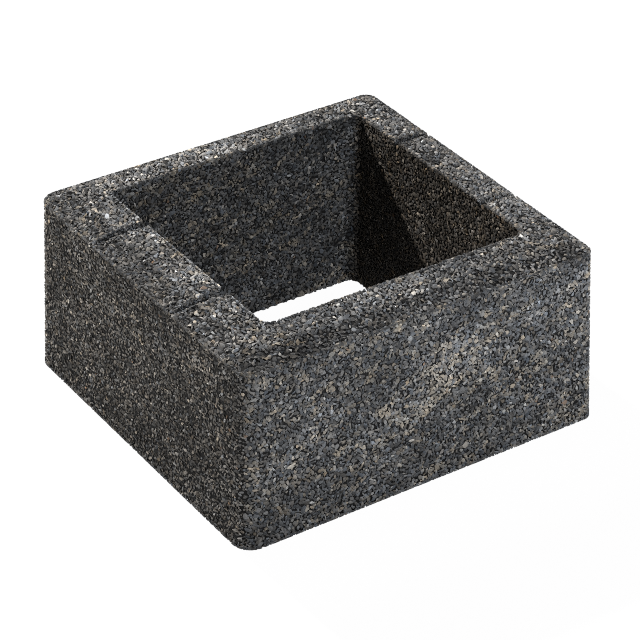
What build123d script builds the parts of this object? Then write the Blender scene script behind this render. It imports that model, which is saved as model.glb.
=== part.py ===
"""Hollow planting and pillar block, cast as one piece of open concrete.

The block is a drafted box with rounded upright corners. Its rim is flat next to the
cavity and falls away in a wide bevel towards the outer faces. A tapering cavity goes
right through it, a little off centre, so the two show walls are thicker than the two
far ones. Two break grooves cross the rims of the two X walls.

Lengths are in millimetres, +Z is up and the origin is the middle of the base.
"""
import os
from build123d import *

# Driving sizes of the outside
base_length = 400.0
base_width = 386.0
height = 190.5
outer_draft = 6.4
left_corner_radius = 20.0
right_corner_radius = 12.0
bottom_edge_radius = 2.0

# Wall thicknesses on the rim, measured at the top of the drafted faces
left_wall = 59.5
right_wall = 41.5
front_wall = 58.0
back_wall = 38.5

# The bevel between the flat of the rim and the outer faces
bevel_drop = 5.2
left_bevel = 28.0
right_bevel = 14.0
front_bevel = 26.0
back_bevel = 10.0
crown_corner_radius = 8.0
arris_radius = 2.0

# The cavity that goes right through
cavity_draft = 7.0
cavity_corner_radius = 10.0
cavity_edge_radius = 2.0

# The break grooves across the two X walls, evenly about the cavity's middle
groove_spacing = 142.0
groove_width = 11.5
groove_depth = 8.0
groove_tip_radius = 1.5
groove_shoulder_radius = 4.0
shoulder_depth_share = 0.2
throat_share = 0.64

# How far a cutter runs past what it cuts, as a share of the height
overrun_share = 0.1

top_length = base_length - 2 * outer_draft
top_width = base_width - 2 * outer_draft
bevel_level = height - bevel_drop
overrun = height * overrun_share
half_share = 0.5


def rounded_outline(length, width, left_radius, right_radius, level, centre_x=0.0, centre_y=0.0):
    """Give a rounded rectangle lying flat at one level.

    Args:
        length: size along X.
        width: size along Y.
        left_radius: radius of the two corners on the -X side.
        right_radius: radius of the two corners on the +X side.
        level: height of the outline.
        centre_x: middle of the outline along X.
        centre_y: middle of the outline along Y.

    Returns:
        The outline as a sketch.
    """
    outline = Rectangle(length, width)
    sides = outline.vertices().group_by(Axis.X)
    outline = fillet(sides[0], left_radius)
    sides = outline.vertices().group_by(Axis.X)
    outline = fillet(sides[-1], right_radius)
    place = Plane(origin=(centre_x, centre_y, level))
    return place * outline


def make_body():
    """Give the drafted outside of the block with its bevelled top, before anything is cut away."""
    narrowing = 2 * outer_draft * bevel_level / height
    corners = (left_corner_radius, right_corner_radius)
    base = rounded_outline(base_length, base_width, *corners, 0.0)
    arris = rounded_outline(base_length - narrowing, base_width - narrowing, *corners, bevel_level)
    crown = rounded_outline(
        top_length - left_bevel - right_bevel,
        top_width - front_bevel - back_bevel,
        crown_corner_radius,
        crown_corner_radius,
        height,
        (left_bevel - right_bevel) * half_share,
        (front_bevel - back_bevel) * half_share,
    )
    return loft([base, arris], ruled=True) + loft([arris, crown], ruled=True)


def make_cavity():
    """Give the tapering cavity as a cutter that runs past both faces."""
    rim_length = top_length - left_wall - right_wall
    rim_width = top_width - front_wall - back_wall
    centre_x = (left_wall - right_wall) * half_share
    centre_y = (front_wall - back_wall) * half_share
    outlines = []
    for level in (-overrun, height + overrun):
        narrowing = 2 * cavity_draft * (height - level) / height
        outlines.append(
            rounded_outline(
                rim_length - narrowing,
                rim_width - narrowing,
                cavity_corner_radius,
                cavity_corner_radius,
                level,
                centre_x,
                centre_y,
            )
        )
    return loft(outlines, ruled=True)


def make_groove(centre_y):
    """Give one break groove as a bar along X, with a round tip and shoulders.

    Args:
        centre_y: middle of the groove along Y.

    Returns:
        The cutter, as long as the block and a little more.
    """
    mouth = groove_width * half_share
    throat = mouth * throat_share
    shoulder = groove_depth * shoulder_depth_share
    reach = 2 * mouth - throat
    outline = Polyline(
        (-reach, shoulder),
        (-throat, -shoulder),
        (0.0, -groove_depth),
        (throat, -shoulder),
        (reach, shoulder),
        close=True,
    )
    profile = make_face(outline)
    corners = profile.vertices().sort_by(Axis.Y)
    profile = fillet(corners[0], groove_tip_radius)
    corners = profile.vertices().group_by(Axis.Y)
    bends = [point for row in corners for point in row if abs(point.Y + shoulder) < shoulder * half_share]
    profile = fillet(bends, groove_shoulder_radius)
    run = half_share * base_length + overrun
    place = Plane(origin=(-run, centre_y, height), x_dir=(0.0, 1.0, 0.0), z_dir=(1.0, 0.0, 0.0))
    return extrude(place * profile, amount=2 * run)


def make_block():
    """Give the finished block as one solid."""
    body = make_body()
    level_edges = body.edges().filter_by(lambda edge: edge.bounding_box().size.Z < arris_radius * half_share)
    arris = [edge for edge in level_edges if abs(edge.center().Z - bevel_level) < bevel_drop * half_share]
    body = fillet(arris, arris_radius)
    foot = body.faces().sort_by(Axis.Z)[0]
    body = fillet(foot.outer_wire().edges(), bottom_edge_radius)
    block = body - make_cavity()
    rim = block.faces().sort_by(Axis.Z)[-1]
    block = fillet(rim.inner_wires()[0].edges(), cavity_edge_radius)
    middle_y = (front_wall - back_wall) * half_share
    for side in (-half_share, half_share):
        block = block - make_groove(middle_y + side * groove_spacing)
    return block


os.makedirs("parts", exist_ok=True)
block = make_block()
export_step(block.solids()[0], "parts/block.step")
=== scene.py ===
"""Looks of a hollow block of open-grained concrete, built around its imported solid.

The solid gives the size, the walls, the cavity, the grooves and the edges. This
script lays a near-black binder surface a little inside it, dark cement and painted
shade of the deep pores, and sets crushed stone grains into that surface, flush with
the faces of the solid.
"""

import logging
import math
from collections.abc import Callable
from dataclasses import dataclass
from enum import Enum

import bpy
import numpy as np
from mathutils import Matrix, Vector


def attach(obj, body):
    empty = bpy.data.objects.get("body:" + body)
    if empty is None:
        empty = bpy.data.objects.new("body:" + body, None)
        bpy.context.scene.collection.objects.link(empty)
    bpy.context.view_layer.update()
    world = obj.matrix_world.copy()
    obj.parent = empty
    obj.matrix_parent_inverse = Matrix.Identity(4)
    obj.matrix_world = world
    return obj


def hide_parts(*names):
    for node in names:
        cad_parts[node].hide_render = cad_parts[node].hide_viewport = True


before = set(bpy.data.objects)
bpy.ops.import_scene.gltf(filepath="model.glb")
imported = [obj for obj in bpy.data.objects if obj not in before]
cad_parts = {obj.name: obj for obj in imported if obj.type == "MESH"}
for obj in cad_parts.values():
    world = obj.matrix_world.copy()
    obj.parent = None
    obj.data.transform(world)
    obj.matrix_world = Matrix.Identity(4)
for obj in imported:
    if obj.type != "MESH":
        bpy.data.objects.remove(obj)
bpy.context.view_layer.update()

Array = np.ndarray
Triple = tuple[float, float, float]
Pairs = tuple[tuple[float, float], ...]
FourValues = tuple[float, float, float, float]
Feeds = dict[str | int, object]
Rng = np.random.Generator
LOG = logging.getLogger("block")
MM = 0.001
QUARTER = math.pi / 2
SHARP_ANGLE = math.radians(50.0)
NODE = "block"
BODY = "root"
BAKE_MAP = "OFBake"
GRAIN_COLOUR = "grain_colour"
CORNER_SIGNS = np.array([(-1.0, -1.0), (1.0, -1.0), (1.0, 1.0), (-1.0, 1.0)])
CHIP_SIDES = 6
CHIP_POINTS = CHIP_SIDES + 2
MAP_CELL = 0.5
SLOPE_STEP = 0.5
TINY = 1e-6
LATTICE_JITTER = 0.3
PROBE_REACH = 0.27
GRAIN_REACH = 0.42
WHITE = (1.0, 1.0, 1.0, 1.0)


class Wall(Enum):
    """The four walls, in the order in which the loops run past them."""

    FRONT = 0
    RIGHT = 1
    BACK = 2
    LEFT = 3


class Region(Enum):
    """The surfaces that carry grains."""

    OUTSIDE = "outside"
    CAVITY = "cavity"
    RIM = "rim"
    BASE = "base"
    ARRIS = "arris"
    INNER_EDGE = "inner edge"
    FOOT = "foot"
    GROOVE = "groove"


@dataclass(frozen=True)
class BlockSizes:
    """Sizes of the block in millimetres, as in the solid."""

    base_length: float = 400.0
    base_width: float = 386.0
    height: float = 190.5
    outer_draft: float = 6.4
    left_corner: float = 20.0
    right_corner: float = 12.0
    base_edge: float = 2.0
    left_wall: float = 59.5
    right_wall: float = 41.5
    front_wall: float = 58.0
    back_wall: float = 38.5
    bevel_drop: float = 5.2
    left_bevel: float = 28.0
    right_bevel: float = 14.0
    front_bevel: float = 26.0
    back_bevel: float = 10.0
    crown_corner: float = 8.0
    arris: float = 2.0
    cavity_draft: float = 7.0
    cavity_corner: float = 10.0
    cavity_edge: float = 2.0
    groove_spacing: float = 142.0
    groove_mouth: float = 5.75
    groove_throat: float = 3.68
    groove_depth: float = 8.0
    groove_shoulder: float = 1.6
    groove_softness: float = 1.2


@dataclass(frozen=True)
class Spots:
    """Places on a surface, with the directions that a grain needs there.

    Attributes:
        point: places, one row each, in millimetres.
        normal: outward directions.
        along: directions in the surface, level with the loop.
        keep: marks the places that carry a grain.
    """

    point: Array
    normal: Array
    along: Array
    keep: Array

    def kept(self) -> "Spots":
        """Give only the places that carry a grain."""
        keep = self.keep
        return Spots(self.point[keep], self.normal[keep], self.along[keep], keep[keep])


@dataclass(frozen=True)
class RoundedLoop:
    """A rounded rectangle in the XY plane, walked anticlockwise from its front side.

    Attributes:
        half_x: half its size along X.
        half_y: half its size along Y.
        radii: radii of the corners, in the order front left, front right, back right, back left.
        centre_x: its middle along X.
        centre_y: its middle along Y.
    """

    half_x: float
    half_y: float
    radii: FourValues
    centre_x: float = 0.0
    centre_y: float = 0.0

    def knots(self) -> Array:
        """Give the walked distance at the start of each side and corner, and at the end.

        Returns:
            Nine distances, from zero to the whole way round.
        """
        start = np.array(self.radii)
        end = np.roll(start, -1)
        whole = 2 * np.array([self.half_x, self.half_y, self.half_x, self.half_y])
        steps = np.column_stack([whole - start - end, end * QUARTER]).ravel()
        return np.concatenate([[0.0], np.cumsum(steps)])

    def station(self, distance: Array) -> Array:
        """Turn walked distances into stations, which count sides and corners from 0 to 8."""
        knots = self.knots()
        return np.interp(np.mod(distance, knots[-1]), knots, np.arange(len(knots)))

    def at(self, station: Array) -> tuple[Array, Array, Array]:
        """Give the loop at some stations.

        On a side, the arc centre and the radius slide from one corner's to the next and
        the normal is fixed. On a corner, both are fixed and the normal makes a quarter
        turn. The point is the centre plus the radius times the normal.

        Args:
            station: places on the loop, from 0 to 8.

        Returns:
            The points, the outward normals, and the way each point moves when both half
            sizes grow by one.
        """
        radii = np.array(self.radii)
        piece = np.clip(np.floor(station).astype(int), 0, 7)
        share = (station - piece)[:, None]
        side = piece // 2
        on_arc = (piece % 2)[:, None]
        angle = (side[:, None] + on_arc * share - 1) * QUARTER
        normal = np.concatenate([np.cos(angle), np.sin(angle)], axis=1)
        blend = np.where(on_arc == 1, 1.0, share)
        after = (side + 1) % 4
        growth = CORNER_SIGNS[side] * (1 - blend) + CORNER_SIGNS[after] * blend
        half = np.array([self.half_x, self.half_y])
        centres = CORNER_SIGNS * (half - radii[:, None])
        centre = centres[side] * (1 - blend) + centres[after] * blend
        radius = radii[side, None] * (1 - blend) + radii[after, None] * blend
        middle = np.array([self.centre_x, self.centre_y])
        return middle + centre + radius * normal, normal, growth

    def away(self, xy: Array, growth: Array) -> tuple[Array, Array]:
        """Give how far points lie outside the loop, and which way is out.

        Args:
            xy: places in plan.
            growth: how much both half sizes grow, for each place.

        Returns:
            The distances, negative inside, and the outward directions.
        """
        offset = xy - np.array([self.centre_x, self.centre_y])
        right = offset[:, 0] > 0
        corner = np.where(offset[:, 1] > 0, np.where(right, 2, 3), np.where(right, 1, 0))
        radius = np.array(self.radii)[corner]
        half = np.array([self.half_x, self.half_y]) + growth[:, None] - radius[:, None]
        past = np.abs(offset) - half
        reach = np.maximum(past, 0.0)
        distance = np.linalg.norm(reach, axis=1) + np.minimum(past.max(axis=1), 0.0) - radius
        nearest = np.where(past == past.max(axis=1, keepdims=True), 1.0, 0.0)
        lean = np.where(reach.any(axis=1, keepdims=True), reach, nearest)
        return distance, unit(lean * np.where(offset > 0, 1.0, -1.0))

    def gap(self, xy: Array) -> Array:
        """Give how far points lie outside the loop, negative inside it."""
        return self.away(xy, np.zeros(len(xy)))[0]

    def side(self, xy: Array) -> Array:
        """Give the wall that points lie next to, as its number in the order of the walls.

        Args:
            xy: places in plan.

        Returns:
            One number for each place.
        """
        offset = xy - np.array([self.centre_x, self.centre_y])
        past = np.abs(offset) - np.array([self.half_x, self.half_y])
        ends = np.where(offset > 0, (Wall.RIGHT.value, Wall.BACK.value), (Wall.LEFT.value, Wall.FRONT.value))
        return np.where(past[:, 0] > past[:, 1], ends[:, 0], ends[:, 1])


@dataclass(frozen=True)
class DraftedFace:
    """A drafted face that goes all the way round, outside the block or in its cavity.

    Attributes:
        loop: its outline at the top.
        spread: how far it moves away from the middle on its way down to the base.
        facing: 1 where it faces away from the middle, and -1 where it faces the middle.
        height: height of the block.
    """

    loop: RoundedLoop
    spread: float
    facing: float
    height: float

    def ring(self, station: Array, inset: Array, z: Array) -> Array:
        """Give points on the face, moved into the wall by the inset.

        Args:
            station: places on the loop.
            inset: distance from the face into the wall.
            z: heights.

        Returns:
            The points, one row each.
        """
        point, normal, growth = self.loop.at(station)
        spread = self.spread * (1 - z / self.height)
        into = normal * -self.facing
        xy = point + growth * np.reshape(spread, (-1, 1)) + into * np.reshape(inset, (-1, 1))
        return np.column_stack([xy, np.broadcast_to(z, station.shape)])

    def spots(self, distance: Array, edge: float, angle: Array, z: Array) -> Spots:
        """Give places on the face and over the rounded edge at its top.

        The normal is level but for the draft, and turns upright over the edge.

        Args:
            distance: walked distance along the loop.
            edge: radius of the rounded edge.
            angle: how far the edge has turned at each place, zero on the face.
            z: heights.

        Returns:
            The places, all kept.
        """
        station = self.loop.station(distance)
        normal = self.loop.at(station)[1]
        point = self.ring(station, edge * (1 - np.cos(angle)), z)
        slope = abs(self.spread) / self.height
        level = self.facing * np.cos(angle)[:, None] * normal
        facing = unit(np.column_stack([level, np.sin(angle) + slope * np.cos(angle)]))
        along = np.column_stack([-normal[:, 1], normal[:, 0], np.zeros(len(normal))])
        return Spots(point, facing, along, np.ones(len(z), bool))


class BlockShape:
    """The block's surface as formulas, which every piece is laid on."""

    def __init__(self, sizes: BlockSizes) -> None:
        """Work out the loops of the outer faces, the bevel and the cavity.

        Args:
            sizes: the block's sizes.
        """
        self.sizes = sizes
        top_x = sizes.base_length / 2 - sizes.outer_draft
        top_y = sizes.base_width / 2 - sizes.outer_draft
        corners = (sizes.left_corner, sizes.right_corner, sizes.right_corner, sizes.left_corner)
        self.outer = RoundedLoop(top_x, top_y, corners)
        self.crown = RoundedLoop(
            top_x - (sizes.left_bevel + sizes.right_bevel) / 2,
            top_y - (sizes.front_bevel + sizes.back_bevel) / 2,
            (sizes.crown_corner,) * 4,
            (sizes.left_bevel - sizes.right_bevel) / 2,
            (sizes.front_bevel - sizes.back_bevel) / 2,
        )
        self.inner = RoundedLoop(
            top_x - (sizes.left_wall + sizes.right_wall) / 2,
            top_y - (sizes.front_wall + sizes.back_wall) / 2,
            (sizes.cavity_corner,) * 4,
            (sizes.left_wall - sizes.right_wall) / 2,
            (sizes.front_wall - sizes.back_wall) / 2,
        )
        self.outer_face = DraftedFace(self.outer, sizes.outer_draft, 1.0, sizes.height)
        self.cavity_face = DraftedFace(self.inner, -sizes.cavity_draft, -1.0, sizes.height)

    def groove(self, y: Array) -> Array:
        """Give how far below the top the break grooves lie at some Y, zero outside them.

        Each groove is a V with a flatter shoulder, in straight stretches over the
        distance from its middle. The mean of three shifted copies rounds it off.

        Args:
            y: places along Y.

        Returns:
            The depths below the top.
        """
        sizes = self.sizes
        reach = (0.0, sizes.groove_throat, sizes.groove_mouth)
        drop = (sizes.groove_depth, sizes.groove_shoulder, 0.0)
        dip = np.zeros_like(y)
        for middle in self.groove_middles():
            for shift in (-sizes.groove_softness, 0.0, sizes.groove_softness):
                dip += np.interp(np.abs(y - middle + shift), reach, drop) / 3
        return dip

    def groove_middles(self) -> Array:
        """Give the middles of the two grooves along Y."""
        return self.inner.centre_y + np.array([-0.5, 0.5]) * self.sizes.groove_spacing

    def bevel(self, xy: Array) -> Array:
        """Give how far down the bevel places in plan lie: 0 on the flat, 1 at the outer edge.

        Across the bevel the value is the distance to the flat, divided by the sum of that
        distance and the one to the outer edge.

        Args:
            xy: places in plan.

        Returns:
            The shares of the bevel's drop.
        """
        inside = np.maximum(-self.outer.gap(xy), 0.0)
        outside = np.maximum(self.crown.gap(xy), 0.0)
        return outside / np.maximum(inside + outside, TINY)

    def top(self, xy: Array) -> Array:
        """Give the height of the rim at places in plan, with the bevel and the grooves."""
        sizes = self.sizes
        return sizes.height - np.maximum(sizes.bevel_drop * self.bevel(xy), self.groove(xy[:, 1]))

    def outside_spots(self, distance: Array, rise: Array) -> Spots:
        """Give places on the outer faces and over the rounded arris above them.

        Up to the arris the rise is the height. Past it, the rise walks a quarter circle
        that turns the normal from level to upright.

        Args:
            distance: walked distance along the loop.
            rise: walked distance up from the base.

        Returns:
            The places, not kept past the end of the arris or over a groove.
        """
        sizes = self.sizes
        edge = sizes.arris
        start = sizes.height - sizes.bevel_drop - edge
        turn = np.clip((rise - start) / edge, 0.0, None)
        angle = np.minimum(turn, QUARTER)
        z = np.where(turn > 0, start + edge * np.sin(angle), rise)
        spots = self.outer_face.spots(distance, edge, angle, z)
        spots.keep[:] = (turn < QUARTER) & (z < sizes.height - self.groove(spots.point[:, 1]))
        return spots

    def cavity_spots(self, distance: Array, drop: Array) -> Spots:
        """Give places on the cavity's faces and over its rounded top edge.

        The drop walks a quarter circle down from the rim, and is then the depth.

        Args:
            distance: walked distance along the loop.
            drop: walked distance down from the rim's inner edge.

        Returns:
            The places, not kept below the base or over a groove.
        """
        sizes = self.sizes
        edge = sizes.cavity_edge
        angle = np.clip(QUARTER - drop / edge, 0.0, QUARTER)
        depth = edge + np.maximum(drop - edge * QUARTER, 0.0)
        z = np.where(angle > 0, sizes.height - edge + edge * np.sin(angle), sizes.height - depth)
        spots = self.cavity_face.spots(distance, edge, angle, z)
        spots.keep[:] = (z > 0) & (z < sizes.height - self.groove(spots.point[:, 1]))
        return spots

    def rim_spots(self, xy: Array) -> Spots:
        """Give places on the flat of the rim, over the bevel and down the grooves.

        The normal leans by the slopes of the rim's height along X and Y, taken over one step
        to each side.

        Args:
            xy: places in plan.

        Returns:
            The places, kept only between the two rounded edges.
        """
        sizes = self.sizes
        keep = (self.outer.gap(xy) < -sizes.arris) & (self.inner.gap(xy) > sizes.cavity_edge)
        step = np.array([SLOPE_STEP, 0.0])
        slope_x = self.top(xy + step) - self.top(xy - step)
        slope_y = self.top(xy + step[::-1]) - self.top(xy - step[::-1])
        point = np.column_stack([xy, self.top(xy)])
        facing = unit(np.column_stack([-slope_x, -slope_y, np.ones(len(xy))]))
        along = unit(np.cross((0.0, 1.0, 0.0), facing))
        return Spots(point, facing, along, keep)

    def base_spots(self, xy: Array) -> Spots:
        """Give places on the underside, facing down.

        Args:
            xy: places in plan.

        Returns:
            The places, kept only between the cavity and the outer edge.
        """
        sizes = self.sizes
        keep = self.outer.gap(xy) < sizes.outer_draft - sizes.base_edge
        keep &= self.inner.gap(xy) > -sizes.cavity_draft
        point = np.column_stack([xy, np.zeros(len(xy))])
        facing = np.tile((0.0, 0.0, -1.0), (len(xy), 1))
        along = np.tile((1.0, 0.0, 0.0), (len(xy), 1))
        return Spots(point, facing, along, keep)

    def pressed(self, points: Array) -> Array:
        """Press points that stand out of the block back onto its faces, as a mould does.

        Heights are held between the base and the bevelled rim. Then points outside the drafted
        outer face move straight in, and points in the cavity move straight into its wall.

        Args:
            points: points in millimetres.

        Returns:
            The points, all in the block or on its faces.
        """
        sizes = self.sizes
        xy = points[:, :2]
        z = np.clip(points[:, 2], 0.0, sizes.height - sizes.bevel_drop * self.bevel(xy))
        share = 1 - z / sizes.height
        over, out = self.outer.away(xy, sizes.outer_draft * share)
        xy = xy - out * np.maximum(over, 0.0)[:, None]
        over, out = self.inner.away(xy, -sizes.cavity_draft * share)
        xy = xy - out * np.minimum(over, 0.0)[:, None]
        return np.column_stack([xy, z])


def unit(rows: Array) -> Array:
    """Scale each row to length one."""
    return rows / np.linalg.norm(rows, axis=-1, keepdims=True)


def packed_field(width: float, height: float, grades: Pairs, rng: Rng) -> tuple[Array, Array]:
    """Pack a field with grains of several grades, the coarse ones first.

    Each grade is a triangular lattice as wide as the grain: odd rows are shifted by half a
    pitch, rows are the pitch times the sine of 60 degrees apart, and each point moves a little
    at random. A share of it is kept. A grain is left out where a coarser one already lies,
    which is read from a map of small cells that every placed grain marks.

    Args:
        width: size of the field along its first axis.
        height: size along the second axis.
        grades: the size of each grade's grains and the share of its lattice that is kept.
        rng: source of the random draws.

    Returns:
        The places, and the size of the grain at each.
    """
    cell = MAP_CELL
    taken = np.zeros((int(width / cell) + 1, int(height / cell) + 1), bool)
    limit = np.array(taken.shape) - 1
    ring = np.arange(CHIP_SIDES) * math.pi / 3
    probe = np.vstack([(0.0, 0.0), np.column_stack([np.cos(ring), np.sin(ring)])])
    places = []
    sizes = []
    for size, share in grades:
        columns = np.arange(int(width / size))
        rows = np.arange(int(height / (size * math.sin(math.pi / 3))))
        across, up = np.meshgrid(columns, rows)
        x = (across + 0.5 * (up % 2) + 0.25) * (width / len(columns))
        y = (up + 0.5) * (height / len(rows))
        spots = np.column_stack([x.ravel(), y.ravel()])
        spots += rng.uniform(-LATTICE_JITTER, LATTICE_JITTER, spots.shape) * size
        spots = spots[rng.uniform(size=len(spots)) < share]
        cells = np.clip((spots[:, None] + probe * size * PROBE_REACH) / cell, 0, limit).astype(int)
        spots = spots[~taken[cells[..., 0], cells[..., 1]].any(axis=1)]
        reach = np.arange(-size / 2, size / 2, cell)
        disc = np.stack(np.meshgrid(reach, reach), axis=-1).reshape(-1, 2)
        disc = disc[np.linalg.norm(disc, axis=1) < GRAIN_REACH * size]
        cells = np.clip((spots[:, None] + disc) / cell, 0, limit).astype(int)
        taken[cells[..., 0], cells[..., 1]] = True
        places.append(spots)
        sizes.append(np.full(len(spots), size))
    return np.concatenate(places), np.concatenate(sizes)


@dataclass(frozen=True)
class Drift:
    """A smooth random field over the block: a sum of sine waves, drawn out along one direction.

    Attributes:
        shortest: shortest wavelength across the drawn out direction, in millimetres.
        longest: longest wavelength.
        along: the drawn out direction.
        stretch: how many times longer the waves are along it.
        seed: seed of the directions and phases.
        count: number of waves.
    """

    shortest: float
    longest: float
    along: Triple
    stretch: float
    seed: int
    count: int = 40

    def at(self, points: Array) -> Array:
        """Give the field at some places.

        Args:
            points: places in millimetres.

        Returns:
            One value for each place, about zero, with a spread of about one.
        """
        rng = np.random.default_rng(self.seed)
        axis = np.array(self.along) / np.linalg.norm(self.along)
        squeezed = points - np.outer(points @ axis, axis) * (1 - 1 / self.stretch)
        bearing = unit(rng.normal(size=(self.count, 3)))
        length = np.exp(rng.uniform(math.log(self.shortest), math.log(self.longest), self.count))
        phase = rng.uniform(0.0, 2 * math.pi, self.count)
        swing = np.sin(squeezed @ (bearing * (2 * math.pi / length)[:, None]).T + phase)
        return swing.sum(axis=1) / math.sqrt(self.count / 2)


def new_piece(name: str, points: Array, faces: Array) -> bpy.types.Object:
    """Make a mesh object from arrays, at the origin.

    Args:
        name: name of the piece.
        points: vertices in millimetres.
        faces: corners of each face, all faces alike.

    Returns:
        The object.
    """
    mesh = bpy.data.meshes.new(name)
    mesh.vertices.add(len(points))
    mesh.vertices.foreach_set("co", (points * MM).astype(np.float32).ravel())
    mesh.loops.add(faces.size)
    mesh.loops.foreach_set("vertex_index", faces.astype(np.int32).ravel())
    mesh.polygons.add(len(faces))
    starts = np.arange(0, faces.size, faces.shape[1], dtype=np.int32)
    mesh.polygons.foreach_set("loop_start", starts)
    mesh.update(calc_edges=True)
    piece = bpy.data.objects.new(name, mesh)
    bpy.context.scene.collection.objects.link(piece)
    return piece


class NodeBench:
    """A node tree with short ways to add nodes and links."""

    def __init__(self, tree: bpy.types.NodeTree) -> None:
        """Hold the tree."""
        self.tree = tree

    def feed(self, node: bpy.types.Node, feeds: Feeds) -> None:
        """Join outputs to inputs of a node, or set their values.

        Args:
            node: the node.
            feeds: the output or the value for each input, by name or number.
        """
        for key, value in feeds.items():
            if isinstance(value, bpy.types.NodeSocket):
                self.tree.links.new(value, node.inputs[key])
            else:
                node.inputs[key].default_value = value

    def add(self, kind: str, feeds: Feeds, **settings: object) -> bpy.types.Node:
        """Add a node, set its properties and feed its inputs.

        Args:
            kind: type of the node.
            feeds: the output or the value for each input.
            settings: properties by name.

        Returns:
            The node.
        """
        node = self.tree.nodes.new(kind)
        for key, value in settings.items():
            setattr(node, key, value)
        self.feed(node, feeds)
        return node

    def seen(self) -> bpy.types.NodeSocket:
        """Give a mask of the rays that see a surface: from the camera, off gloss or through glass.

        Returns:
            The mask's output.
        """
        rays = self.add("ShaderNodeLightPath", {}).outputs
        mask = rays["Is Camera Ray"]
        for name in ("Is Glossy Ray", "Is Transmission Ray"):
            mask = self.add("ShaderNodeMath", {0: mask, 1: rays[name]}, operation="MAXIMUM").outputs[0]
        return mask

    def choose(self, plain: bpy.types.Node, shown: bpy.types.Node, end: bpy.types.Node) -> None:
        """Let the rays that see a surface meet one shader and all others another.

        Args:
            plain: shader that lights the scene.
            shown: shader that is seen.
            end: output node that takes the choice.
        """
        feeds = {"Fac": self.seen(), 1: plain.outputs[0], 2: shown.outputs[0]}
        self.feed(end, {"Surface": self.add("ShaderNodeMixShader", feeds).outputs[0]})


class StoneTexture:
    """The fine mottling and pitting of stone, as one shader node group."""

    NAME = "stone_texture"
    ENTRIES = ("Colour", "Scale", "Mottle")
    RESULTS = ("Colour", "Height", "Roughness")
    DETAIL = 3.0
    DETAIL_WEIGHT = 0.65
    SMOOTHEST = 0.55
    ROUGHEST = 0.95

    def __init__(self) -> None:
        """Build the group once.

        A noise in object space swings the colour about itself, by the mottle, and gives the
        pits and the roughness.
        """
        tree = bpy.data.node_groups.new(self.NAME, "ShaderNodeTree")
        for way, names in (("INPUT", self.ENTRIES), ("OUTPUT", self.RESULTS)):
            for name in names:
                kind = "NodeSocketColor" if name == "Colour" else "NodeSocketFloat"
                tree.interface.new_socket(name, in_out=way, socket_type=kind)
        bench = NodeBench(tree)
        entry = bench.add("NodeGroupInput", {}).outputs
        where = bench.add("ShaderNodeTexCoord", {}).outputs["Object"]
        feeds = {"Vector": where, "Scale": entry["Scale"]}
        feeds |= {"Detail": self.DETAIL, "Roughness": self.DETAIL_WEIGHT}
        noise = bench.add("ShaderNodeTexNoise", feeds).outputs["Fac"]
        swing = bench.add("ShaderNodeMath", {0: noise, 1: 0.5}, operation="SUBTRACT").outputs[0]
        feeds = {0: swing, 1: entry["Mottle"], 2: 1.0}
        swing = bench.add("ShaderNodeMath", feeds, operation="MULTIPLY_ADD").outputs[0]
        feeds = {0: entry["Colour"], "Scale": swing}
        tint = bench.add("ShaderNodeVectorMath", feeds, operation="SCALE").outputs["Vector"]
        feeds = {"Value": noise, "To Min": self.ROUGHEST, "To Max": self.SMOOTHEST}
        rough = bench.add("ShaderNodeMapRange", feeds).outputs["Result"]
        bench.add("NodeGroupOutput", {"Colour": tint, "Height": noise, "Roughness": rough})
        self.tree = tree


@dataclass(frozen=True)
class StoneFinish:
    """A finish on the stone texture.

    Attributes:
        name: name of the material.
        colour: plain colour, used where no attribute is read.
        attribute: name of a colour attribute to read, or nothing.
        scale: size of the mottling, in cells a metre.
        mottle: strength of the mottling.
        bump: depth of the pitting in metres.
        shine: level of the mirror reflection.
    """

    name: str
    colour: Triple
    attribute: str = ""
    scale: float = 900.0
    mottle: float = 0.5
    bump: float = 0.00025
    shine: float = 0.08

    def material(self, texture: StoneTexture) -> bpy.types.Material:
        """Make the material.

        Args:
            texture: the shared node group.

        Returns:
            The material.
        """
        made = bpy.data.materials.new(self.name)
        made.use_nodes = True
        bench = NodeBench(made.node_tree)
        feeds = {"Colour": (*self.colour, 1.0), "Scale": self.scale, "Mottle": self.mottle}
        group = bench.add("ShaderNodeGroup", feeds, node_tree=texture.tree)
        if self.attribute:
            read = bench.add("ShaderNodeAttribute", {}, attribute_name=self.attribute)
            bench.feed(group, {"Colour": read.outputs["Color"]})
        bump = bench.add("ShaderNodeBump", {"Distance": self.bump, "Height": group.outputs["Height"]})
        feeds = {"Base Color": group.outputs["Colour"], "Roughness": group.outputs["Roughness"]}
        feeds |= {"Normal": bump.outputs["Normal"], "Specular IOR Level": self.shine}
        bench.feed(made.node_tree.nodes["Principled BSDF"], feeds)
        return made


class StonePiece:
    """A piece of the block's looks, which stands for the solid."""

    def dress(self, piece: bpy.types.Object, material: bpy.types.Material) -> None:
        """Give the piece its finish and its place in the frame.

        Args:
            piece: the piece.
            material: its finish.
        """
        piece.data.materials.append(material)
        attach(piece, BODY)
        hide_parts(NODE)


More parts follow.
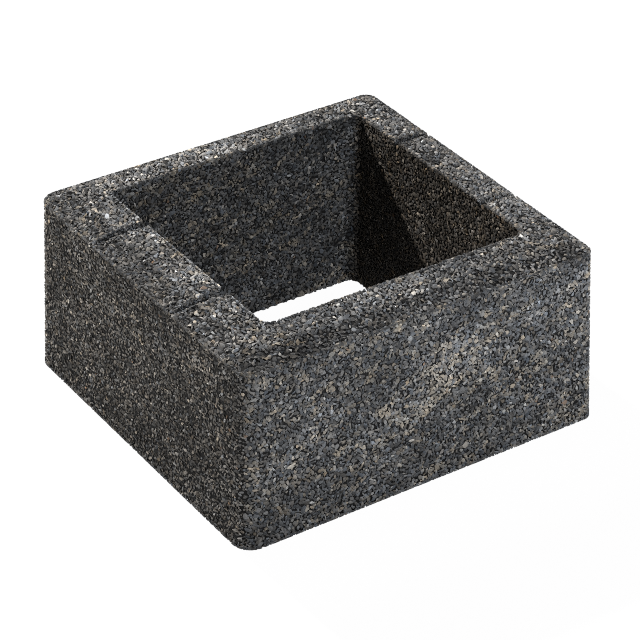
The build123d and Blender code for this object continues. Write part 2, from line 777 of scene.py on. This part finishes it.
@dataclass(frozen=True)
class BinderBody(StonePiece):
    """The binder: the whole surface a little inside the solid, dark cement and painted pore shade."""

    shape: BlockShape
    recess: float = 1.5
    rim_recess: float = 2.3
    base_recess: float = 0.4
    side_steps: int = 60
    groove_side_steps: int = 250
    corner_steps: int = 8
    face_steps: int = 8
    edge_steps: int = 4
    rim_steps: int = 16
    base_steps: int = 5

    def stations(self) -> Array:
        """Give the stations round the loops, closer together on the grooved walls.

        Returns:
            The stations, from 0 to 8.
        """
        parts = []
        for wall in Wall:
            grooved = wall in (Wall.LEFT, Wall.RIGHT)
            count = self.groove_side_steps if grooved else self.side_steps
            parts.append(2 * wall.value + np.arange(count) / count)
            parts.append(2 * wall.value + 1 + np.arange(self.corner_steps) / self.corner_steps)
        return np.concatenate(parts)

    def rings(self) -> list[Array]:
        """Carry the wall's profile round the loops.

        The profile climbs the outer face, turns over the arris in a quarter circle,
        crosses the rim in a straight blend in plan, turns down the inner edge, goes down the
        cavity and comes back under the base in a straight blend.

        Returns:
            One array of points for each step of the profile.
        """
        outer = self.shape.outer_face.ring
        inner = self.shape.cavity_face.ring
        sizes = self.shape.sizes
        where = self.stations()
        level = np.ones(len(where))
        deep = self.recess * level
        low = sizes.height - sizes.bevel_drop - self.recess - sizes.arris
        high = sizes.height - self.rim_recess - sizes.cavity_edge
        rings = []
        for z in np.linspace(self.base_recess, low, self.face_steps, endpoint=False):
            rings.append(outer(where, deep, z * level))
        for angle in np.linspace(0.0, QUARTER, self.edge_steps, endpoint=False):
            inset = deep + sizes.arris * (1 - math.cos(angle))
            rings.append(outer(where, inset, (low + sizes.arris * math.sin(angle)) * level))
        start = outer(where, deep + sizes.arris, sizes.height * level)
        stop = inner(where, deep + sizes.cavity_edge, sizes.height * level)
        for share in np.linspace(0.0, 1.0, self.rim_steps, endpoint=False):
            rings.append(start + (stop - start) * share)
        for angle in np.linspace(QUARTER, 0.0, self.edge_steps, endpoint=False):
            inset = deep + sizes.cavity_edge * (1 - math.cos(angle))
            rings.append(inner(where, inset, (high + sizes.cavity_edge * math.sin(angle)) * level))
        for z in np.linspace(high, self.base_recess, self.face_steps, endpoint=False):
            rings.append(inner(where, deep, z * level))
        start = inner(where, deep, self.base_recess * level)
        stop = outer(where, deep, self.base_recess * level)
        for share in np.linspace(0.0, 1.0, self.base_steps, endpoint=False):
            rings.append(start + (stop - start) * share)
        return rings

    def build(self) -> bpy.types.Object:
        """Make the closed surface, dipped into the grooves.

        Returns:
            The piece, which stands for the solid.
        """
        rings = np.stack(self.rings())
        top = self.shape.top(rings[:, :, :2].reshape(-1, 2)).reshape(rings.shape[:2])
        rings[:, :, 2] = np.minimum(rings[:, :, 2], top - self.rim_recess)
        steps, round_count = rings.shape[:2]
        index = np.arange(steps * round_count).reshape(steps, round_count)
        right = np.roll(index, -1, axis=1)
        above = np.roll(index, -1, axis=0)
        across = np.roll(right, -1, axis=0)
        faces = np.stack([index, right, across, above], axis=2).reshape(-1, 4)
        piece = new_piece("binder", rings.reshape(-1, 3), faces)
        piece.data.shade_smooth()
        return piece


@dataclass(frozen=True)
class StoneMix:
    """The colours of the crushed stone, in linear light, and how they are mixed.

    Attributes:
        dark: darkest common grey.
        middle: lightest common grey.
        light: pale grains.
        beige: colour of fully beige grains.
        rust: rare rusty grains.
        light_share: share of pale grains.
        rust_share: share of rusty grains.
        corner_spread: spread of the logarithm of the brightness between the corners of one grain.
        hue: spread of the warm and cool tints.
        drift: where beige gathers, in slanting streaks.
        clump: where beige gathers, in clumps of a few grains.
        shade: slow changes of brightness.
    """

    dark: Triple = (0.076, 0.079, 0.084)
    middle: Triple = (0.184, 0.187, 0.192)
    light: Triple = (0.330, 0.326, 0.316)
    beige: Triple = (0.308, 0.280, 0.239)
    rust: Triple = (0.195, 0.150, 0.122)
    light_share: float = 0.03
    rust_share: float = 0.002
    corner_spread: float = 0.12
    hue: float = 0.042
    drift: Drift = Drift(45.0, 140.0, (0.90, 0.0, 0.43), 3.0, 752)
    clump: Drift = Drift(9.0, 28.0, (0.90, 0.0, 0.43), 1.6, 63)
    shade: Drift = Drift(30.0, 120.0, (0.90, 0.0, 0.43), 2.0, 2515)

    DRIFT_WEIGHT = 0.45
    SCATTER = 0.8
    BEIGE_SLOPE = 0.5
    BEIGE_START = 0.05
    SHADE_WEIGHT = 0.13
    WARM = (1.0, 0.1, -1.0)

    def colours(self, points: Array, beige_level: float, spread: float, rng: Rng) -> Array:
        """Give each corner of each grain its colour.

        A grain is a blend of dark and middle grey at random. It turns beige by a share that
        grows with a sum of the drift, the clumps and a normal draw. A few grains are pale or
        rusty. Every colour is then tinted a little towards warm or cool, and scaled by
        random factors whose logarithms are normal, one for the grain and one for each corner.

        Args:
            points: places of the grains in millimetres.
            beige_level: how common beige is here, where 0 is usual.
            spread: spread of the logarithm of the brightness between the grains.
            rng: source of the random draws.

        Returns:
            One linear colour for each corner of each grain.
        """
        count = len(points)
        blend = rng.uniform(0.0, 1.0, (count, 1))
        colour = np.array(self.dark) * (1 - blend) + np.array(self.middle) * blend
        gather = self.DRIFT_WEIGHT * self.drift.at(points) + self.clump.at(points)
        gather += rng.normal(0.0, self.SCATTER, count) + beige_level
        share = np.clip(self.BEIGE_SLOPE * gather - self.BEIGE_START, 0.0, 1.0)[:, None]
        colour = colour * (1 - share) + np.array(self.beige) * share
        colour[rng.uniform(size=count) < self.light_share] = self.light
        colour[rng.uniform(size=count) < self.rust_share] = self.rust
        tint = np.exp(rng.normal(0.0, self.hue, (count, 1)) * np.array(self.WARM))
        brightness = rng.normal(0.0, spread, count) + self.SHADE_WEIGHT * self.shade.at(points)
        corners = rng.normal(0.0, self.corner_spread, (count, CHIP_POINTS)) + brightness[:, None]
        return (colour * tint)[:, None, :] * np.exp(corners)[:, :, None]


@dataclass(frozen=True)
class ChipStyle:
    """How the chips of a bed are sized and laid.

    Attributes:
        grades: size and share of each grade of grains, coarse ones first.
        lowest: depth of the deepest grain's top below the face.
        lift: height by which all grains stand out before the mould presses them.
        dome: height of a grain's top over its widest part, as a share of its size.
        lean: spread of the slopes that the grains lie at.
        fill: size of the grains compared with their places, larger for fewer gaps.
    """

    grades: Pairs = ((6.6, 0.07), (5.2, 0.22), (4.2, 0.5), (3.2, 0.9), (2.4, 1.0))
    lowest: float = 0.8
    lift: float = 0.1
    dome: float = 0.22
    lean: float = 0.24
    fill: float = 1.0


@dataclass(frozen=True)
class GrainBed(StonePiece):
    """A field of crushed grains on one region of the block.

    Attributes:
        name: name of the piece.
        region: the surface it lies on.
        wall: the wall it lies on, where the region has walls.
        seed: seed of its random draws.
        style: how its chips are sized and laid.
        tones: brightness at some heights, which on the front is painted shade, darker towards the foot.
        walls: brightness on the front, right, back and left walls, which on the rim and the inner edges is
            painted light and shade.
        bevels: brightness on the bevels of those walls, compared with their flats.
        beige: how common beige grains are here, where 0 is usual.
        spread: spread of the logarithm of the brightness.
        tint: colour that all grains are multiplied by, which in the cavity also darkens them as painted
            shade.
    """

    name: str
    region: Region
    wall: Wall | None
    seed: int
    style: ChipStyle
    tones: Pairs = ((0.0, 1.0), (1.0, 1.0))
    walls: FourValues = (1.0, 1.0, 1.0, 1.0)
    bevels: FourValues = (1.0, 1.0, 1.0, 1.0)
    beige: float = 0.0
    spread: float = 0.24
    tint: Triple = (1.0, 1.0, 1.0)

    BEVEL_START = 0.06
    GROOVE_START = 0.2
    GROOVE_ROOM = 3.0
    GROOVE_LIP = 1.3
    GROOVE_STEPS = 41
    ROW_SPACING = 0.7
    ROW_SCATTER = 0.5
    FOOT_RISE = 1.0
    SIZE_RANGE = (0.9, 1.1)
    TURN_JITTER = 0.28
    RADIUS_RANGE = (0.70, 1.18)
    LONG_SPREAD = 0.22
    CROWN_RANGE = (0.35, 1.3)
    TIP_SPREAD = 0.12
    DEPTH_SHAPE = (1.0, 2.2)
    MAP_RADIUS = 0.36

    def spots(self, shape: BlockShape, rng: Rng) -> tuple[Spots, Array]:
        """Pack the region with grains.

        Args:
            shape: the block's surface.
            rng: source of the random draws.

        Returns:
            The grains' places and their sizes.
        """
        sizes = shape.sizes
        if self.region is Region.GROOVE:
            return self.groove_fill(shape, rng)
        if self.region in (Region.RIM, Region.BASE):
            span = np.array([sizes.base_length, sizes.base_width])
            plan, grain = packed_field(span[0], span[1], self.style.grades, rng)
            lay = shape.rim_spots if self.region is Region.RIM else shape.base_spots
            spots = lay(plan - span / 2)
            if self.region is Region.RIM:
                spots.keep[shape.groove(spots.point[:, 1]) > self.GROOVE_LIP] = False
            return spots.kept(), grain[spots.keep]
        cavity = self.region in (Region.CAVITY, Region.INNER_EDGE)
        loop = shape.inner if cavity else shape.outer
        lay = shape.cavity_spots if cavity else shape.outside_spots
        knots = loop.knots()
        if self.wall is None:
            return self.row(shape, lay, knots[-1], rng)
        first = 2 * self.wall.value
        before = (knots[first] - knots[first - 1]) if first else (knots[-1] - knots[-2])
        start = knots[first] - before / 2
        length = (knots[first + 1] + knots[first + 2]) / 2 - start
        field, grain = packed_field(length, sizes.height + sizes.arris, self.style.grades, rng)
        spots = lay(field[:, 0] + start, field[:, 1])
        return spots.kept(), grain[spots.keep]

    def groove_fill(self, shape: BlockShape, rng: Rng) -> tuple[Spots, Array]:
        """Pack the walls of the two grooves with grains.

        Each groove is packed as a flat strip as wide as the way down one wall and up the
        other. The walked distance across the strip then gives the place along Y.

        Args:
            shape: the block's surface.
            rng: source of the random draws.

        Returns:
            The grains' places and their sizes.
        """
        sizes = shape.sizes
        reach = np.linspace(-sizes.groove_mouth, sizes.groove_mouth, self.GROOVE_STEPS)
        plans = []
        grains = []
        for middle in shape.groove_middles():
            dip = shape.groove(middle + reach)
            walked = np.concatenate([[0.0], np.cumsum(np.hypot(np.diff(reach), np.diff(dip)))])
            field, grain = packed_field(sizes.base_length, walked[-1], self.style.grades, rng)
            y = middle + np.interp(field[:, 1], walked, reach)
            plans.append(np.column_stack([field[:, 0] - sizes.base_length / 2, y]))
            grains.append(grain)
        spots = shape.rim_spots(np.concatenate(plans))
        return spots.kept(), np.concatenate(grains)[spots.keep]

    def row(
        self, shape: BlockShape, lay: Callable[[Array, Array], Spots], length: float, rng: Rng
    ) -> tuple[Spots, Array]:
        """Set one row of grains along an edge, with the grooves left open.

        Args:
            shape: the block's surface.
            lay: gives places from the walked distances along and across the face.
            length: the whole way round.
            rng: source of the random draws.

        Returns:
            The grains' places and their sizes.
        """
        sizes = shape.sizes
        across = {
            Region.ARRIS: sizes.height - sizes.bevel_drop - sizes.arris + sizes.arris * QUARTER / 2,
            Region.INNER_EDGE: sizes.cavity_edge * QUARTER / 2,
            Region.FOOT: self.FOOT_RISE,
        }[self.region]
        low, high = (size for size, share in self.style.grades)
        grain = rng.uniform(low, high, int(length / (low * self.ROW_SPACING)) + 1)
        walked = np.cumsum(grain) * self.ROW_SPACING
        grain = grain[walked < length]
        walked = walked[walked < length]
        spots = lay(walked, across + rng.normal(0.0, self.ROW_SCATTER, len(walked)))
        dip = shape.groove(spots.point[:, 1])
        below = spots.point[:, 2] < sizes.height - dip - self.GROOVE_ROOM
        spots.keep[:] &= below | (dip < self.GROOVE_START)
        return spots.kept(), grain[spots.keep]

    def chips(self, shape: BlockShape, spots: Spots, grain: Array, rng: Rng) -> tuple[Array, Array]:
        """Make one closed chip of crushed stone at each place.

        A chip is a crown of six corners with a corner above and one below it. The crown's
        radii and angles vary, it is drawn out along a random direction, and it lies lower
        than the top by a varying share of the dome. The chip leans a little, is lowered by a
        random depth, and what then stands out of the block is pressed into it.

        Args:
            shape: the block's surface.
            spots: the grains' places.
            grain: the grains' sizes.
            rng: source of the random draws.

        Returns:
            The corners in millimetres, as many for each chip, and the triangles.
        """
        style = self.style
        count = len(grain)
        sides = CHIP_SIDES
        jitter = self.TURN_JITTER
        size = grain * style.fill * rng.uniform(*self.SIZE_RANGE, count)
        turn = (np.arange(sides) + rng.uniform(-jitter, jitter, (count, sides))) * math.pi / 3
        radius = 0.5 * rng.uniform(*self.RADIUS_RANGE, (count, sides))
        long = np.exp(rng.normal(0.0, self.LONG_SPREAD, (count, 1)))
        chip = np.zeros((count, CHIP_POINTS, 3))
        chip[:, :sides, 0] = radius * np.cos(turn) * long
        chip[:, :sides, 1] = radius * np.sin(turn) / long
        chip[:, :sides, 2] = -style.dome * rng.uniform(*self.CROWN_RANGE, (count, sides))
        chip[:, -2, :2] = rng.normal(0.0, self.TIP_SPREAD, (count, 2))
        chip[:, -1, :2] = rng.normal(0.0, self.TIP_SPREAD, (count, 2))
        chip[:, -1, 2] = -1.0
        chip *= size[:, None, None]
        spin = rng.uniform(0.0, 2 * math.pi, count)
        spun = np.array([[np.cos(spin), -np.sin(spin)], [np.sin(spin), np.cos(spin)]])
        chip[:, :, :2] = np.einsum("abn,nkb->nka", spun, chip[:, :, :2])
        slope = rng.normal(0.0, style.lean, (count, 1, 2))
        chip[:, :, 2] += (chip[:, :, :2] * slope).sum(axis=2)
        chip[:, :, 2] += style.lift - style.lowest * rng.beta(*self.DEPTH_SHAPE, (count, 1))
        across = np.cross(spots.normal, spots.along)
        axes = np.stack([spots.along, across, spots.normal], axis=1)
        points = spots.point[:, None, :] + np.einsum("nkj,njx->nkx", chip, axes)
        here = np.arange(sides)
        after = (here + 1) % sides
        upper = np.column_stack([here, after, np.full(sides, sides)])
        lower = np.column_stack([after, here, np.full(sides, sides + 1)])
        faces = np.concatenate([upper, lower])[None] + CHIP_POINTS * np.arange(count)[:, None, None]
        return shape.pressed(points.reshape(-1, 3)), faces.reshape(-1, 3)

    def tone(self, shape: BlockShape, spots: Spots) -> Array:
        """Give the brightness of each place, by its wall, by the bevel and by its height.

        Args:
            shape: the block's surface.
            spots: the grains' places.

        Returns:
            One factor for each place.
        """
        # On the rim, the inner edges and the front foot, these factors are painted light and shade.
        marks, levels = np.array(self.tones).T
        wall = shape.inner.side(spots.point[:, :2])
        level = np.array(self.walls)[wall] * np.interp(spots.point[:, 2], marks, levels)
        if self.region not in (Region.RIM, Region.GROOVE):
            return level
        bevel = np.clip(shape.bevel(spots.point[:, :2]) / self.BEVEL_START, 0.0, 1.0)
        return level * (1 + bevel * (np.array(self.bevels)[wall] - 1))

    def build(self, shape: BlockShape, mix: StoneMix) -> bpy.types.Object:
        """Make the piece, with a colour for each grain and a bake map.

        Args:
            shape: the block's surface.
            mix: the stone's colours.

        Returns:
            The piece.
        """
        rng = np.random.default_rng(self.seed)
        spots, grain = self.spots(shape, rng)
        points, faces = self.chips(shape, spots, grain, rng)
        piece = new_piece(self.name, points, faces)
        colour = np.ones((len(grain), CHIP_POINTS, 4), np.float32)
        # The tone and the tint carry painted light and shade where the beds set them so.
        level = self.tone(shape, spots)[:, None, None] * np.array(self.tint)
        colour[:, :, :3] = mix.colours(spots.point, self.beige, self.spread, rng) * level
        layer = piece.data.color_attributes.new(GRAIN_COLOUR, "FLOAT_COLOR", "POINT")
        layer.data.foreach_set("color", colour.ravel())
        self.map_chips(piece, len(grain), faces)
        piece.data.shade_smooth()
        piece.data.set_sharp_from_angle(angle=SHARP_ANGLE)
        return piece

    def map_chips(self, piece: bpy.types.Object, count: int, faces: Array) -> None:
        """Give each chip a small cell of its own in the bake map, seen from above.

        Args:
            piece: the piece.
            count: number of chips.
            faces: its triangles.
        """
        across = math.ceil(math.sqrt(count))
        cell = np.stack([np.arange(count) % across, np.arange(count) // across], axis=1)
        turn = np.arange(CHIP_SIDES) * math.pi / 3
        place = np.full((CHIP_POINTS, 2), 0.5)
        place[:CHIP_SIDES] += self.MAP_RADIUS * np.stack([np.cos(turn), np.sin(turn)], axis=1)
        vertex = (cell[:, None, :] + place[None]) / across
        layer = piece.data.uv_layers.new(name=BAKE_MAP)
        layer.uv.foreach_set("vector", vertex.reshape(-1, 2)[faces.ravel()].astype(np.float32).ravel())


@dataclass(frozen=True)
class SoftBox:
    """A lamp with a flat face, a square or a long strip.

    Attributes:
        name: name of the lamp.
        place: where it stands, in metres.
        aim: the point it faces.
        width: size of its face along the level direction, in metres.
        height: size of its face along the other direction.
        level: light on a surface at the aim that faces it, where 1 shows a colour as written.
        colour: colour of the light.
    """

    name: str
    place: Triple
    aim: Triple
    width: float
    height: float
    level: float
    colour: Triple = (1.0, 1.0, 1.0)

    def build(self) -> None:
        """Place the lamp, with the power that gives its level at the aim.

        A point lamp needs the square of the distance, and a strip that is much longer than
        the distance needs about twice its length times the distance, divided by pi.
        """
        back = Vector(self.place) - Vector(self.aim)
        lamp = bpy.data.lights.new(self.name, "AREA")
        lamp.shape = "RECTANGLE"
        lamp.size = self.width
        lamp.size_y = self.height
        spread = max(back.length_squared, 2 * self.width * back.length / math.pi)
        lamp.energy = self.level * math.pi**2 * spread
        lamp.color = self.colour
        stand = bpy.data.objects.new(self.name, lamp)
        stand.location = self.place
        stand.rotation_euler = back.to_track_quat("Z", "Y").to_euler()
        bpy.context.scene.collection.objects.link(stand)


def heading(azimuth: float, elevation: float) -> Vector:
    """Give the direction towards something that stands away from the block.

    Args:
        azimuth: degrees round from the front, positive to the right.
        elevation: degrees up from level.

    Returns:
        The direction, of length one.
    """
    turn = math.radians(azimuth)
    lift = math.radians(elevation)
    return Vector((math.sin(turn) * math.cos(lift), -math.cos(turn) * math.cos(lift), math.sin(lift)))


@dataclass(frozen=True)
class PhotoCamera:
    """The camera, fitted to the edges of the block in the 640 pixel frame."""

    azimuth: float = -33.632
    elevation: float = 32.918
    roll: float = 0.190
    focal_pixels: float = 2733.0
    frame_pixels: float = 640.0
    distance: float = 2.6323
    offset_right: float = -0.00805
    offset_up: float = 0.01542
    sensor: float = 36.0

    def build(self, aim: Vector) -> None:
        """Place the camera so that the aim lies off the middle of the frame by the offsets.

        Args:
            aim: the block's middle.
        """
        back = heading(self.azimuth, self.elevation)
        right = Vector((0.0, 0.0, 1.0)).cross(back).normalized()
        up = back.cross(right)
        turn = math.radians(self.roll)
        side = right * math.cos(turn) + up * math.sin(turn)
        head = up * math.cos(turn) - right * math.sin(turn)
        data = bpy.data.cameras.new("camera")
        data.sensor_width = self.sensor
        data.lens = self.sensor * self.focal_pixels / self.frame_pixels
        camera = bpy.data.objects.new("camera", data)
        camera.matrix_world = Matrix((side, head, back)).transposed().to_4x4()
        camera.location = aim - side * self.offset_right - head * self.offset_up + back * self.distance
        bpy.context.scene.collection.objects.link(camera)
        bpy.context.scene.camera = camera


class Stage:
    """The white floor, the world, the lamps and the camera."""

    FLOOR_HALF = 4.0
    FLOOR_GREY = 0.06
    SHADOW_SHARE = 0.025
    AMBIENT = 0.002
    MIDDLE = (0.0, 0.0, 0.095)
    COOL = (0.98, 0.99, 1.0)
    WARM = (1.0, 0.96, 0.89)
    LAMPS = (
        SoftBox("key", (-0.21, 1.81, 1.64), MIDDLE, 0.08, 0.08, 1.75, (1.0, 0.96, 0.90)),
        SoftBox("front_top", (0.20, -1.27, 1.10), MIDDLE, 0.2, 0.2, 0.53, COOL),
        SoftBox("front_strip", (0.05, -0.33, 0.145), (0.05, -0.19, 0.145), 0.84, 0.02, 0.55, COOL),
        SoftBox("left_strip", (-0.40, 0.17, 0.125), (-0.20, 0.17, 0.125), 0.86, 0.02, 0.76, WARM),
        SoftBox("right_low", (1.50, 0.0, 0.08), MIDDLE, 0.2, 0.2, 0.5),
    )

    def floor(self) -> None:
        """Lay a floor that is white to the camera, keeps a faint shadow and reflects little."""
        half = self.FLOOR_HALF / MM
        corners = np.array([(-half, -half, 0), (half, -half, 0), (half, half, 0), (-half, half, 0)])
        floor = new_piece("floor", corners, np.array([(0, 1, 2, 3)]))
        made = bpy.data.materials.new("floor_white")
        made.use_nodes = True
        bench = NodeBench(made.node_tree)
        nodes = made.node_tree.nodes
        grey = (self.FLOOR_GREY, self.FLOOR_GREY, self.FLOOR_GREY, 1.0)
        plain = nodes["Principled BSDF"]
        bench.feed(plain, {"Base Color": grey, "Roughness": 1.0, "Specular IOR Level": 0.0})
        glow = bench.add("ShaderNodeEmission", {}).outputs[0]
        bright = bench.add("ShaderNodeBsdfDiffuse", {"Color": WHITE}).outputs[0]
        mix = bench.add("ShaderNodeMixShader", {"Fac": self.SHADOW_SHARE, 1: glow, 2: bright})
        bench.choose(plain, mix, nodes["Material Output"])
        floor.data.materials.append(made)

    def world(self) -> None:
        """Make a world that is white to the camera and lights the block only faintly."""
        made = bpy.data.worlds.new("world")
        made.use_nodes = True
        bench = NodeBench(made.node_tree)
        nodes = made.node_tree.nodes
        plain = nodes["Background"]
        bench.feed(plain, {"Strength": self.AMBIENT, "Color": WHITE})
        white = bench.add("ShaderNodeBackground", {"Color": WHITE})
        bench.choose(plain, white, nodes["World Output"])
        bpy.context.scene.world = made

    def build(self, aim: Vector) -> None:
        """Set up everything round the block.

        Args:
            aim: the block's middle.
        """
        self.floor()
        self.world()
        for lamp in self.LAMPS:
            lamp.build()
        PhotoCamera().build(aim)


def set_render() -> None:
    """Set the plain view and how far light is followed."""
    scene = bpy.context.scene
    scene.view_settings.view_transform = "Standard"
    scene.cycles.use_denoising = False
    scene.cycles.max_bounces = 6
    scene.cycles.diffuse_bounces = 3
    scene.cycles.filter_width = 1.0


def grain_beds() -> list[GrainBed]:
    """List the beds of grains, with their styles and tones as the photo shows them, painted light and shade
    among them.

    Returns:
        The beds, in the order in which they are made.
    """
    coarse = ((7.2, 0.08), (5.6, 0.25), (4.4, 0.55), (3.4, 0.9), (2.4, 1.0))
    show = ((6.2, 0.07), (4.9, 0.22), (3.9, 0.5), (3.0, 0.9), (2.2, 1.0))
    plain = ((6.0, 0.1), (4.8, 0.3), (3.7, 0.75), (2.8, 1.0))
    fine = ((5.6, 0.08), (4.4, 0.3), (3.4, 0.75), (2.5, 1.0))
    edge = ((2.6, 1.0), (4.4, 1.0))
    rim = ChipStyle(coarse, lowest=1.4, lift=0.1, dome=0.45, lean=0.34, fill=1.14)
    groove = ChipStyle(((3.0, 0.4), (2.2, 1.0)), lowest=0.7, lift=-0.1, dome=0.3)
    arris = ChipStyle(edge, lowest=0.6, lift=1.0, dome=0.15)
    inner_edge = ChipStyle(edge, lowest=1.4, lift=0.8, lean=0.35)
    foot = ChipStyle(edge, lowest=0.2, lift=1.2, dome=0.12)
    base = ChipStyle(((7.0, 0.3), (5.0, 1.0)), fill=1.14)
    face = ChipStyle(show, lowest=0.6, lift=0.2, dome=0.32, lean=0.28, fill=1.2)
    left = ChipStyle(fine, lowest=1.6, dome=0.3)
    hidden = ChipStyle(plain, fill=1.14)
    right_cavity = ChipStyle(lowest=0.4, dome=0.1, lean=0.06, fill=0.96)
    back_cavity = ChipStyle(show, lowest=0.9, dome=0.3, fill=1.14)
    rim_tint = (1.02, 1.0, 0.975)
    outer_tint = (0.91, 0.91, 0.91)
    left_tint = (1.14, 1.085, 1.02)
    # Painted shade: the cavity walls are made darker inside the hollow.
    cavity_painted_shade = (0.72, 0.72, 0.72)
    # Warm brown colour, darkened further as painted shade of the cavity's shadowed right wall.
    right_cavity_warm_painted_shade = (0.82, 0.73, 0.63)
    # Painted light: the rim grains are made paler, most on the back and left, to stand for the key lamp
    # lighting the top.
    rim_painted_light = (1.38, 1.37, 1.62, 1.60)
    rim_bevels = (0.67, 0.95, 0.66, 0.70)
    arris_walls = (0.48, 0.9, 0.76, 0.64)
    # Painted highlight along the left inner edge and painted shade on the other inner edges, darkest on the
    # shadowed right one.
    inner_edge_painted_light = (0.7, 0.45, 0.6, 1.6)
    foot_walls = (0.8, 0.8, 0.8, 0.8)
    # Painted shade: the front face is a little darker towards its foot.
    front_painted_foot_shade = ((0.0, 0.95), (60.0, 1.0))
    outside = Region.OUTSIDE
    cavity = Region.CAVITY
    return [
        GrainBed(
            "rim_grains", Region.RIM, None, 11, rim,
            walls=rim_painted_light, bevels=rim_bevels, beige=-1.3, spread=0.32, tint=rim_tint,
        ),
        GrainBed("groove_grains", Region.GROOVE, None, 16, groove, beige=-1.3, spread=0.32),
        GrainBed("arris_grains", Region.ARRIS, None, 13, arris, walls=arris_walls, beige=-0.9, spread=0.32),
        GrainBed(
            "inner_edge_grains", Region.INNER_EDGE, None, 14, inner_edge,
            walls=inner_edge_painted_light, beige=-0.9, spread=0.42,
        ),
        GrainBed("foot_grains", Region.FOOT, None, 15, foot, walls=foot_walls, beige=-0.9),
        GrainBed("base_grains", Region.BASE, None, 12, base),
        GrainBed("front_grains", outside, Wall.FRONT, 21, face, tones=front_painted_foot_shade, tint=outer_tint),
        GrainBed("right_grains", outside, Wall.RIGHT, 22, face, beige=-0.3, tint=outer_tint),
        GrainBed("back_grains", outside, Wall.BACK, 23, face, beige=-0.3, tint=outer_tint),
        GrainBed("left_grains", outside, Wall.LEFT, 24, left, beige=-2.2, spread=0.40, tint=left_tint),
        GrainBed("front_cavity_grains", cavity, Wall.FRONT, 31, hidden, beige=-0.4, tint=cavity_painted_shade),
        GrainBed(
            "right_cavity_grains", cavity, Wall.RIGHT, 35, right_cavity,
            beige=-1.2, spread=0.44, tint=right_cavity_warm_painted_shade,
        ),
        GrainBed(
            "back_cavity_grains", cavity, Wall.BACK, 33, back_cavity,
            beige=-0.4, spread=0.32, tint=cavity_painted_shade,
        ),
        GrainBed("left_cavity_grains", cavity, Wall.LEFT, 34, hidden, beige=-0.4, tint=cavity_painted_shade),
    ]


def main() -> None:
    """Build the binder, the grains and the stage, in that order, and log each piece."""
    logging.basicConfig(level=logging.INFO)
    shape = BlockShape(BlockSizes())
    texture = StoneTexture()
    # The binder's near-black colour is partly dark cement and partly painted shade of the deep pores between
    # the grains.
    binder_and_pore_shade_finish = StoneFinish("binder_cement_and_pore_shade", (0.013, 0.013, 0.0135), scale=500.0).material(texture)
    grain_finish = StoneFinish("crushed_stone", (0.1, 0.1, 0.1), GRAIN_COLOUR).material(texture)
    binder = BinderBody(shape)
    piece = binder.build()
    binder.dress(piece, binder_and_pore_shade_finish)
    LOG.info("%s: %d faces", piece.name, len(piece.data.polygons))
    mix = StoneMix()
    for bed in grain_beds():
        piece = bed.build(shape, mix)
        bed.dress(piece, grain_finish)
        LOG.info("%s: %d faces", piece.name, len(piece.data.polygons))
    Stage().build(Vector((0.0, 0.0, shape.sizes.height * MM / 2)))
    set_render()


if __name__ == "__main__":
    main()
